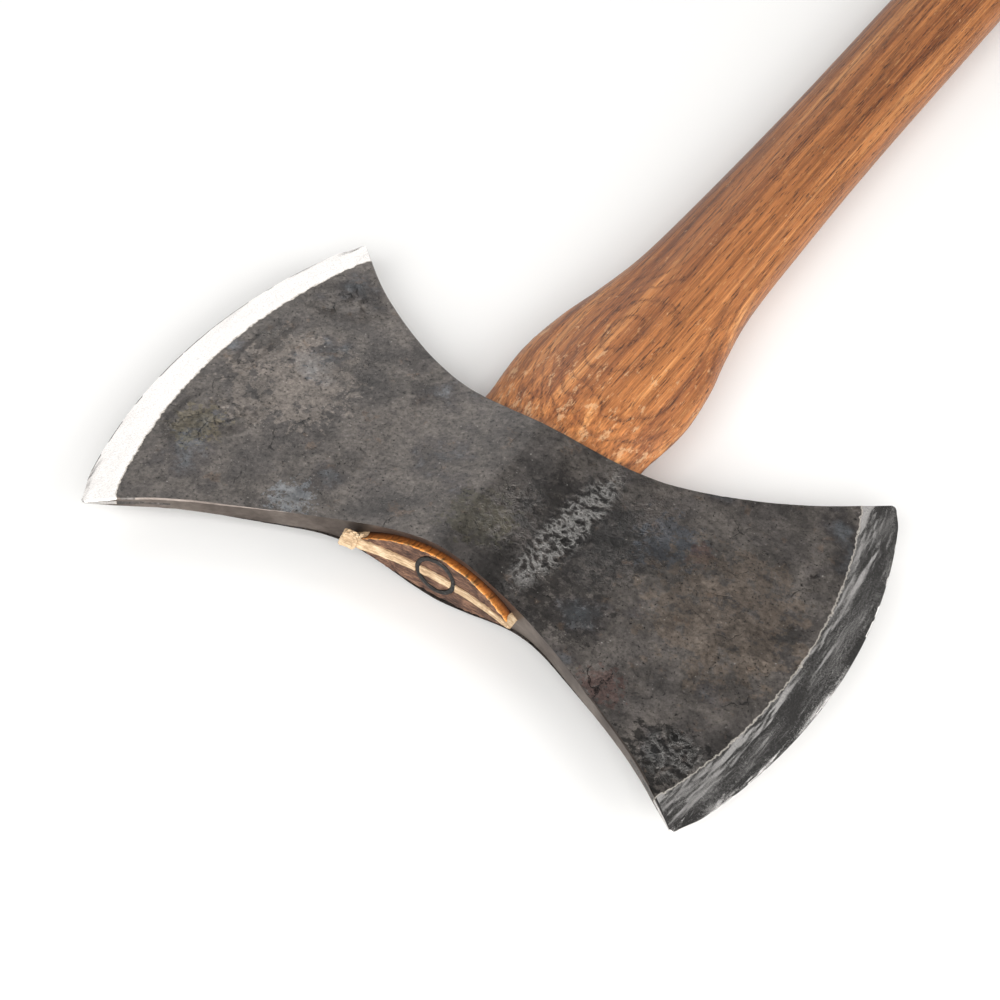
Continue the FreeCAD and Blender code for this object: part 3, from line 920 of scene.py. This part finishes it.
    def outline(self) -> tuple[list[Vector], list[Vector], list[Vector], list[Vector]]:
        """The head's outline as four runs that meet at the middles of its rounded corners.

        Returns:
            The top and the underside from -X to +X, then the left and the right edge from top to underside.
        """
        steps = 4
        outer = int(self.fine_band / self.fine_cell)
        narrow, broad = {}, {}
        for side in (-1, 1):
            top, under = self.corner(side, -1), self.corner(side, 1)
            arcs = {face: self.rounding(c[0], c[1], c[2], 2 * steps) for face, c in ((-1, top), (1, under))}
            for face, c in ((-1, top), (1, under)):
                start, eye_end = abs(c[2].x), 0.5 * self.eye.length
                turn = start - self.fine_band
                inner = int((self.toe_x - self.fine_band - eye_end) / self.cell)
                outs = [start - self.fine_band * k / outer for k in range(outer)]
                outs += [turn - (turn - eye_end) * k / inner for k in range(inner)]
                flank = [Vector((side * o, face * self.flares[face].at(o))) for o in outs]
                narrow[side, face] = arcs[face][steps:-1] + flank
            hub = self.arc_centre(side)
            begin, end = (math.asin((p.y - hub.y) / (p - hub).length) for p in (top[1], under[1]))
            count = int(self.bit_width / self.cell)
            sweep = [begin + (end - begin) * k / count for k in range(count + 1)]
            edge = [hub + self.edge_at(hub.y + self.edge_radius * math.sin(t))
                    * Vector((side * math.cos(t), math.sin(t))) for t in sweep]
            broad[side] = arcs[-1][steps:0:-1] + edge + arcs[1][1:steps + 1]
        eye_cells = int(self.eye.length / self.cell)
        runs = []
        for face in (-1, 1):
            middle = [self.eye.length * (k / eye_cells - 0.5) for k in range(eye_cells + 1)]
            middle = [Vector((x, face * self.flares[face].at(abs(x)))) for x in middle]
            runs.append(narrow[-1, face] + middle + narrow[1, face][::-1])
        return runs[0], runs[1], broad[-1], broad[1]

    @staticmethod
    def inset_runs(runs: Sequence[Sequence[Vector]], amount: Callable[[Vector], float]) -> list[np.ndarray]:
        """Moves the outline's runs inwards.

        Args:
            runs: top, underside, left and right runs.
            amount: how far to move each point.

        Returns:
            The moved runs as arrays.
        """
        moved = []
        for run, inside in zip(runs, (Vector((0, 1)), Vector((0, -1)), Vector((1, 0)), Vector((-1, 0)))):
            points = []
            for i, p in enumerate(run):
                along = (run[min(i + 1, len(run) - 1)] - run[max(i - 1, 0)]).normalized()
                normal = Vector((-along.y, along.x))
                normal *= 1 if normal.dot(inside) > 0 else -1
                if i in (0, len(run) - 1):           # the shared corners move towards the eye
                    normal = -p.normalized()
                points.append(p + normal * amount(p))
            moved.append(np.array(points))
        return moved

    def skin(self, bm: bmesh.types.BMesh, cheek: Cheek) -> None:
        """Adds one cheek with its half of the narrow faces.

        Args:
            bm: the head's mesh.
            cheek: which of the two to add.
        """
        ground_layer, flaked_layer, crumpled_layer = (bm.verts.layers.float[n] for n in self.layers)
        top, under, left, right = runs = self.outline()
        columns, rows = len(top) - 1, len(left) - 1

        def chamfer(p: Vector) -> float:
            """How wide the chamfer is beside a point of the outline."""
            return min(self.soft_edge, 0.3 * self.half_thickness(p.x, p.y)[0])

        t, b, l, r = self.inset_runs(runs, chamfer)
        outline = {}
        for run, key in ((top, lambda k: (k, 0)), (under, lambda k: (k, rows)), (left, lambda k: (0, k)),
                         (right, lambda k: (columns, k))):
            outline.update({key(k): p for k, p in enumerate(run)})

        def place(i: int, j: int) -> Vector:
            """The place of a vertex in the patch that the four runs span."""
            u, v = i / columns, j / rows
            p = (1 - v) * t[i] + v * b[i] + (1 - u) * l[j] + u * r[j]
            p = p - (1 - u) * ((1 - v) * t[0] + v * b[0]) - u * ((1 - v) * t[-1] + v * b[-1])
            return Vector((p[0], p[1], 0))

        net = grid(bm, columns, rows, place)
        border = {}
        for i, column in enumerate(net):
            for j, vert in enumerate(column):
                x, y = vert.co.x, vert.co.y
                half, ground, _ = self.half_thickness(x, y)
                half += self.relief(x, y, cheek, ground)
                vert[ground_layer] = ground
                vert[flaked_layer], vert[crumpled_layer] = self.damage(x, y, cheek)
                vert.co = self.eye.place(x, y, cheek.value * half)
                if (i, j) in outline:
                    border[vert] = (outline[i, j], half, ground)
        edges = [e for e in {e for v in border for e in v.link_edges} if e.is_boundary and all(
            v in border for v in e.verts)]
        for step in range(self.wall_rows + 1):
            made = bmesh.ops.extrude_edge_only(bm, edges=edges)["geom"]
            fresh = [g for g in made if isinstance(g, bmesh.types.BMVert)]
            edges = [g for g in made if isinstance(g, bmesh.types.BMEdge) and g.is_boundary
                     and all(v in set(fresh) for v in g.verts)]
            older = {tuple(v.co): data for v, data in border.items()}
            border = {vert: older[tuple(vert.co)] for vert in fresh}
            for vert, (p, half, ground) in border.items():
                shoulder = half - min(self.soft_edge, 0.3 * half)
                inner = self.eye.lens(p.x, p.y) if abs(p.x) < 0.5 * self.eye.length - 1e-4 else 0.0
                z = shoulder + (inner - shoulder) * step / self.wall_rows
                vert[ground_layer] = ground
                vert.co = self.eye.place(p.x, p.y, cheek.value * z)
            for face in {f for v in border for f in v.link_faces}:
                out = abs(face.calc_center_median().x) / MM
                thin = all(abs(v.co.z) < self.edge_thin * MM for v in face.verts)
                ground_here = (step == 0 and out > self.bit_from) or (thin and out > self.edge_from)
                face.material_index = 0 if ground_here else 1

    def build(self) -> bpy.types.Object:
        """Models and dresses the head."""
        bm = bmesh.new()
        for name in self.layers:
            bm.verts.layers.float.new(name)
        for cheek in Cheek:
            self.skin(bm, cheek)
        bmesh.ops.remove_doubles(bm, verts=bm.verts, dist=MERGE)
        bmesh.ops.bridge_loops(bm, edges=[e for e in bm.edges if e.is_boundary])
        for face in bm.faces:
            if face.calc_area() > 20 * MM * MM:              # the eye's tall walls
                face.material_index = 1
        piece = finish_mesh(bm, "double_bit_head", 32)
        dress(piece, ForgedSteel(self.eye), GroundRim())
        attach(piece, "root")
        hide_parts("axe_head")
        return piece


# ---- the haft ------------------------------------------------------------------------------------------
@dataclass
class Wedging:
    """The saw kerf, the wooden wedge and the round steel wedge that lock the haft. Millimetres."""

    eye: Eye
    fit: float = 0.1
    kerf_bottom: float = 8.0
    thick_left: float = 4.7
    thick_right: float = 2.0
    thick_bottom: float = 1.2
    tip_gap: float = 2.0
    ring_diameter: float = 15.9
    ring_wall: float = 1.7
    ring_depth: float = 19.0
    ring_proud: float = 0.4
    ring_x: float = 0.4
    ring_z: float = 0.5

    def blade_half(self, x: float, y: float, gap: float = 0.0) -> float:
        """Half the wooden wedge's thickness at a place on it."""
        side = 0.5 * self.eye.length + 2.0
        along = (y - self.eye.end_y) / (self.kerf_bottom - self.eye.end_y)
        left, right = (0.5 * (t + along * (self.thick_bottom - t)) - gap for t in (self.thick_left, self.thick_right))
        return left + (right - left) * (x + side) / (2 * side)

    def kerf_cutter(self) -> bpy.types.Object:
        """What the kerf takes out of the tongue."""
        bm = bmesh.new()
        made = bmesh.ops.create_cube(bm, size=2.0)["verts"]
        side = 0.5 * self.eye.length + 2.0
        for vert in made:
            x = side * vert.co.x
            y = self.kerf_bottom if vert.co.y > 0 else self.eye.end_y - 12
            vert.co = self.eye.place(x, y, math.copysign(self.blade_half(x, y), vert.co.z))
        return finish_mesh(bm, "kerf", 30)

    def ring(self, gap: float, name: str, steps: int = 72) -> bpy.types.Object:
        """The round wedge, or what its groove takes out of the wood.

        Args:
            gap: how much larger it is all round. A groove also reaches up past the end grain.
            name: the piece's name.
            steps: how many flats its rim has.

        Returns:
            The new object.
        """
        outer = 0.5 * self.ring_diameter + gap
        inner = 0.5 * self.ring_diameter - self.ring_wall - gap
        top = self.eye.end_y - self.ring_proud - (12 if gap > 0 else 0)
        tip = self.eye.end_y - self.ring_proud + self.ring_depth + gap
        profile = [(inner, top), (outer, top), (outer, tip), (outer - 0.35 * self.ring_wall - gap, tip),
                   (inner, tip - 5)]
        bm = bmesh.new()
        verts = [bm.verts.new(self.eye.place(r, y, 0)) for r, y in profile]
        edges = [bm.edges.new((verts[i], verts[(i + 1) % len(verts)])) for i in range(len(verts))]
        bmesh.ops.spin(bm, geom=verts + edges, cent=(0, 0, 0), axis=(0, 1, 0), angle=2 * math.pi, steps=steps,
                       use_merge=True)
        bmesh.ops.translate(bm, verts=bm.verts, vec=(self.ring_x * MM, 0, self.ring_z * MM))
        if gap == 0:
            bmesh.ops.recalc_face_normals(bm, faces=bm.faces)
            rims = [e for e in bm.edges if len(e.link_faces) == 2 and e.calc_face_angle(0) > math.radians(40)]
            bmesh.ops.bevel(bm, geom=rims, offset=0.22 * MM, offset_type="OFFSET", segments=2, profile=0.5,
                            affect="EDGES", material=-1)
        return finish_mesh(bm, name, 50)

    def build_ring(self) -> bpy.types.Object:
        """Models and dresses the round steel wedge."""
        piece = self.ring(0.0, "round_steel_wedge")
        for vert in piece.data.vertices:
            hammered = 0.05 * fractal(*(vert.co / MM), 2.5)
            if vert.co.y < (self.eye.centre_y + self.eye.end_y + 1) * MM:
                vert.co.y += hammered * MM
        dress(piece, RingSteel())
        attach(piece, "root")
        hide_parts("ring_wedge")
        return piece

    def build_wedge(self) -> bpy.types.Object:
        """Models and dresses the wooden wedge, with its crushed end."""
        bm = bmesh.new()
        half = 0.5 * self.eye.length - 2 * self.fit
        columns, rows, tip = 130, 40, self.kerf_bottom - self.tip_gap

        def place(i: int, j: int) -> Vector:
            """A point of the wedge's upper face, row by row from its crushed top."""
            x = -half * math.cos(math.pi * i / columns)
            top = self.eye.end_grain_y(x) - 0.5 + 0.16 * fractal(x, 5, 0, 1.6)
            y = top + (tip - top) * j / rows
            z = min(self.blade_half(x, y, self.fit), self.eye.lens(x, y, self.fit))
            return self.eye.place(x, y, z)

        for flip in (1, -1):
            net = grid(bm, columns, rows, place)
            for column in net:
                for vert in column:
                    vert.co.z *= flip
        for row in (0, rows):
            def cap(i: int, j: int, row: int = row) -> Vector:
                """A point of the strip that closes one end."""
                p = place(i, row)
                inside = 0 if row else smooth_step(p.z / MM, 0.1, 0.6) * (j * (6 - j) > 0)
                rise = 0.22 * inside * fractal(p.x / MM, j * 1.3, 4, 1.1)
                return Vector((p.x, p.y - rise * MM, p.z * (1 - j / 3)))
            grid(bm, columns, 6, cap)
        piece = finish_mesh(bm, "wooden_wedge", 40)
        carve(piece, self.crushed_end(), "UNION")
        carve(piece, self.ring(self.fit, "groove"))
        for polygon in piece.data.polygons:
            polygon.use_smooth = True
        piece.data.materials.clear()
        dress(piece, SawnWood("raw_wedge_wood", "#94765a", "#c9ab87", "#e4cfae", (0.12, 1.0, 1.0), 0.7))
        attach(piece, "root")
        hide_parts("wood_wedge")
        return piece

    def crushed_end(self) -> bpy.types.Object:
        """The chunk of wedge that was mashed over the steel when its -X end was driven home."""
        bm = bmesh.new()
        bmesh.ops.create_cube(bm, size=2.0)
        bmesh.ops.bevel(bm, geom=list(bm.edges), offset=0.35, segments=3, profile=0.5, affect="EDGES", material=-1)
        bmesh.ops.subdivide_edges(bm, edges=list(bm.edges), cuts=5, use_grid_fill=True)
        for vert in bm.verts:
            x, y, z = vert.co
            tear = 0.5 * fractal(x, 0.6 * y, 2.2 * z, 0.8, 3)
            curl = smooth_step(z, 0.1, 0.9)                  # the upper part is torn into ruffles
            px = -31.4 + 3.1 * x + 1.1 * z + 0.55 * tear + 0.8 * curl * fractal(1.3 * y, x, 2 * z, 0.5)
            py = -43.6 + 1.5 * y + 0.30 * x + (0.4 + 0.9 * curl) * fractal(1.6 * x, 0, 2.4 * z, 0.7)
            pz = 1.0 + 3.5 * z * (1 + 0.16 * tear) + 1.1 * curl * fractal(1.4 * x, 1.5 * y, 5, 0.6)
            vert.co = self.eye.place(px, py, pz)
        return finish_mesh(bm, "crushed_end", 40)


@dataclass
class Haft:
    """The hickory haft, from its end grain in the eye to its flat butt. Millimetres, from the middle of the eye."""

    eye: Eye
    wedging: Wedging
    fit: float = 0.1
    tongue_end: float = 35.0
    shoulder_swell: float = 4.4
    shoulder_thickness: float = 27.6
    shoulder_depth: float = 37.0
    grip_width: float = 44.2
    grip_thickness: float = 28.4
    grip_depth: float = 235.0
    butt_width: float = 53.0
    butt_thickness: float = 33.0
    butt_round: float = 3.0
    swell_steps: int = 9
    swell_power: float = 1.2
    around: int = 144
    flank_from: float = -34.0           # the tongue's sides are torn above this
    # The tongue's top is mashed clear of the steel: depth below the end grain and inset, row by row.
    pinch: tuple = ((0.0, 0.25), (0.3, 0.12), (0.7, 0.22), (1.2, 0.5), (1.8, 0.8), (2.6, 1.0), (4.0, 0.9), (6.0, 0.5))
    neck: tuple = ((0.0, 1.0), (0.065, 0.91), (0.115, 0.795), (0.167, 0.62), (0.22, 0.465), (0.29, 0.29),
                   (0.39, 0.165), (0.545, 0.09), (0.75, 0.03), (1.0, 0.0))

    def __post_init__(self) -> None:
        """Fits smooth lines through the haft's sizes at its stations."""
        sections = self.sections()
        self.lines = [SmoothLine([(s[0], s[k]) for s in sections]) for k in (1, 2, 3)]

    @property
    def butt_y(self) -> float:
        """Where the flat butt face lies."""
        return HAFT_LENGTH_MM + self.eye.end_y

    def sections(self) -> list[tuple[float, float, float, float]]:
        """Stations down the haft: place, half width, half thickness and how full the section is."""
        tongue, tongue_half = 0.5 * self.eye.length - 2 * self.fit, self.eye.half_width(self.tongue_end) - self.fit
        shoulder, shoulder_half = 0.5 * (self.eye.length + self.shoulder_swell), 0.5 * self.shoulder_thickness
        grip, grip_half = 0.5 * self.grip_width, 0.5 * self.grip_thickness
        butt, butt_half = 0.5 * self.butt_width, 0.5 * self.butt_thickness
        shoulder_y, grip_y = self.tongue_end + self.shoulder_depth, self.tongue_end + self.grip_depth
        made = [(self.tongue_end, tongue, tongue_half, 1.0)]
        for along, widening, thickening, fullness in ((0.2, 0.06, 0.5, 0.86), (0.46, 0.48, 0.86, 0.7)):
            made.append((self.tongue_end + along * self.shoulder_depth, tongue + widening * (shoulder - tongue),
                         tongue_half + thickening * (shoulder_half - tongue_half), fullness))
        for along, left in self.neck:
            made.append((shoulder_y + along * (grip_y - shoulder_y), grip + left * (shoulder - grip),
                         shoulder_half + along * (grip_half - shoulder_half), 0.5 + 0.06 * left ** 3))
        for step in range(1, self.swell_steps + 1):
            along = step / self.swell_steps
            swell = along ** self.swell_power
            made.append((grip_y + along * (self.butt_y - grip_y), grip + swell * (butt - grip),
                         grip_half + swell * (butt_half - grip_half), 0.5))
        return made

    def surface(self, turn: float, y: float, inset: float = 0.0) -> tuple[float, float]:
        """A point round the haft's smooth form.

        Args:
            turn: 0 to 1 round the section, from its -X side over the upper face.
            y: along the haft.
            inset: how far in from the surface.

        Returns:
            Its X and Z.
        """
        if y <= self.tongue_end:
            half_x, half_z, full = 0.5 * self.eye.length - 2 * self.fit, self.eye.half_width(y) - self.fit, 1.0
        else:
            half_x, half_z, full = (line.at(y) for line in self.lines)
        half_x, half_z = half_x - inset, half_z - inset
        x = -half_x * math.cos(2 * math.pi * turn)
        rest = max(0.0, 1 - (x / half_x) ** 2)
        return x, half_z * rest ** full * (1 if turn <= 0.5 else -1)

    def relief(self, x: float, y: float, z: float) -> float:
        """How far the sanded wood stands above the smooth form: ripples and torn grain on the swell below the head."""
        bare = smooth_step(y, self.tongue_end + 1, self.tongue_end + 8)
        swell = bare * (1 - smooth_step(y, 95, 150))
        lumps = 0.12 * fractal(x, 0.25 * y, z, 18, 2)
        chatter = math.sin(2 * math.pi * (y + 0.35 * x + 2.5 * fractal(x, y, z, 20, 2)) / 3.1)
        torn = smooth_step(fractal(x, 0.35 * y, z, 4.5, 3), 0.12, 0.3)
        return bare * lumps + swell * (0.045 * chatter * (0.4 + 0.6 * abs(fractal(x, y, z, 14))) - 0.12 * torn)

    def stations(self) -> list[float]:
        """Places of the rows below the tongue's top, close together near the head."""
        near = list(np.arange(-30, 30, 3.0)) + list(np.arange(30, 300, 1.15))
        far = list(np.linspace(300, self.butt_y - self.butt_round, 150))
        curl = [self.butt_y - self.butt_round * (1 - math.sin(math.radians(a))) for a in (15, 30, 45, 60, 75, 90)]
        return near + far + curl

    def build(self) -> bpy.types.Object:
        """Models and dresses the haft."""
        bm = bmesh.new()
        stations = self.stations()
        lead = len(self.pinch)

        def place(i: int, j: int) -> Vector:
            """A point round the haft, row by row from the eye to the butt."""
            turn = i / self.around
            y = stations[max(0, j - lead)]
            past = y - (self.butt_y - self.butt_round)
            inset = self.butt_round - math.sqrt(max(0.0, self.butt_round ** 2 - past ** 2)) if past > 0 else 0.0
            x, z = self.surface(turn, y, inset)
            if j < lead:
                end = self.eye.end_grain_y(x)
                down, inset = self.pinch[j]
                edge = min(1.0, abs(z) / 2) * (j < 5)
                x, z = self.surface(turn, end, inset + 0.35 * edge * abs(fractal(x, 3, z, 1.3)))
                y = end + down + 0.45 * fractal(x, 0, z, 1.2) * (j < 2)
            else:
                lift = self.relief(x, y, z) if past <= 0 else 0.0
                length = math.hypot(x, 2.5 * z) or 1.0
                x, z = x + lift * x / length, z + lift * 2.5 * z / length
            return self.eye.place(x, y, z)

        last = len(stations) + lead - 1
        grid(bm, self.around, last, place)
        half = self.around // 2
        for row, across in ((0, 14), (last, 10)):
            def cap(i: int, j: int, row: int = row, across: int = across) -> Vector:
                """A point of the flat that closes one end."""
                a, b = place(i, row), place(self.around - i, row)
                p = a.lerp(b, j / across)
                if row == 0 and 0 < j < across:
                    p.y -= 0.20 * MM * fractal(0.15 * p.x / MM, 3, p.z / MM, 0.9)
                return p
            made = grid(bm, half, across, cap)
            for face in {f for column in made for v in column for f in v.link_faces}:
                face.material_index = 1
        for face in bm.faces:
            if face.material_index == 0 and face.calc_center_median().y < self.eye.place(0, self.flank_from, 0).y:
                face.material_index = 2
        piece = finish_mesh(bm, "hickory_haft", 40)
        end_grain = SawnWood("sawn_end_grain", "#2a1b14", "#5a3f32", "#957058", (0.12, 1.0, 1.0), 0.5, 0.4)
        dress(piece, OiledHickory(self.eye), end_grain, SplitFlank(self.eye))
        carve(piece, self.wedging.kerf_cutter())
        carve(piece, self.wedging.ring(self.fit, "groove"))
        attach(piece, "root")
        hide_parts("haft")
        return piece


# ---- the studio ----------------------------------------------------------------------------------------
@dataclass
class Studio:
    """A pale floor, soft lights and the camera."""

    lens: float = 68.87
    location: tuple = (0.21438, -1.10809, 0.48159)
    right: tuple = (0.8388, 0.5410, 0.0602)
    up: tuple = (-0.4338, 0.5975, 0.6744)
    dim: float = 0.08                  # how bright the room is as a light
    backdrop: float = 0.9              # and where it is seen
    floor_size: float = 6.0

    def camera(self) -> None:
        """Sets up the camera."""
        data = bpy.data.cameras.new("camera")
        data.lens, data.sensor_width, data.clip_start, data.clip_end = self.lens, 36.0, 0.01, 50.0
        camera = show("camera", data)
        right, up = Vector(self.right).normalized(), Vector(self.up)
        back = right.cross(up).normalized()
        up = back.cross(right)
        turn = Matrix((right, up, back)).transposed().to_4x4()
        camera.matrix_world = Matrix.Translation(self.location) @ turn
        bpy.context.scene.camera = camera

    def floor(self, height: float) -> None:
        """Lays the floor at a height."""
        bm = bmesh.new()
        bmesh.ops.create_grid(bm, x_segments=2, y_segments=2, size=self.floor_size)
        bmesh.ops.translate(bm, verts=bm.verts, vec=(0, -0.4, height))
        mesh = bpy.data.meshes.new("floor")
        bm.to_mesh(mesh)
        bm.free()
        mesh.materials.append(WhitePaint().build())
        show("floor", mesh)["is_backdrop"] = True

    def light(self, name: str, at: tuple, target: tuple, size: tuple, brightness: float) -> None:
        """Adds a soft light.

        Args:
            name: its name.
            at: where its middle is, in metres.
            target: the point that it faces.
            size: its width and height, in metres.
            brightness: how bright its face is. White paper is 1.
        """
        data = bpy.data.lights.new(name, "AREA")
        data.shape, data.size, data.size_y = "RECTANGLE", *size
        data.energy = brightness * math.pi * size[0] * size[1]
        light = show(name, data)
        light.location = at
        light.rotation_mode = "QUATERNION"
        light.rotation_quaternion = (Vector(at) - Vector(target)).to_track_quat("Z", "Y")

    def world(self) -> None:
        """Gives the room a dim even light, and a pale backdrop behind the floor's far edge."""
        world = bpy.data.worlds.new("room")
        world.use_nodes = True
        room = world.node_tree.nodes["Background"]
        room.inputs["Color"].default_value = linear("#ffffff")
        seen = add_node(world.node_tree, Kind.LIGHT_PATH).outputs["Is Camera Ray"]
        strength = add_node(world.node_tree, Kind.RANGE, seen, 0, 1, self.dim, self.backdrop)
        world.node_tree.links.new(strength.outputs["Result"], room.inputs["Strength"])
        bpy.context.scene.world = world

    def build(self, floor_height: float) -> None:
        """Sets up everything round the axe."""
        self.camera()
        self.floor(floor_height)
        self.world()
        self.light("back_left", (-1.32, 0.20, 1.00), (-1.32, -0.72, 0.0), (1.45, 1.50), 1.72)
        self.light("back_middle", (-0.24, 0.20, 1.05), (-0.24, -0.72, 0.0), (0.70, 1.15), 0.6)
        self.light("back_right", (0.66, 0.20, 1.05), (0.66, -0.72, 0.0), (0.30, 1.15), 2.5)
        self.light("front", (0.60, -2.52, 1.45), (0.0, -0.72, 0.0), (2.6, 1.8), 6.0)
        self.light("right", (2.10, -0.72, 1.05), (0.0, -0.72, 0.0), (1.8, 1.4), 4.0)
        bpy.context.scene.view_settings.view_transform = "Standard"


def main() -> None:
    """Builds the axe and its studio, and reports each piece."""
    eye = Eye()
    wedging = Wedging(eye)
    for maker in (AxeHead(eye).build, Haft(eye, wedging).build, wedging.build_wedge, wedging.build_ring):
        piece = maker()
        log.info("%s: %d faces", piece.name, len(piece.data.polygons))
    Studio().build(CAD_BOUNDS[0].z)
    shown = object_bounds()
    log.info("CAD box %s %s, shown box %s %s", *(tuple(round(c, 4) for c in p) for p in (*CAD_BOUNDS, *shown)))


if __name__ == "__main__":
    main()
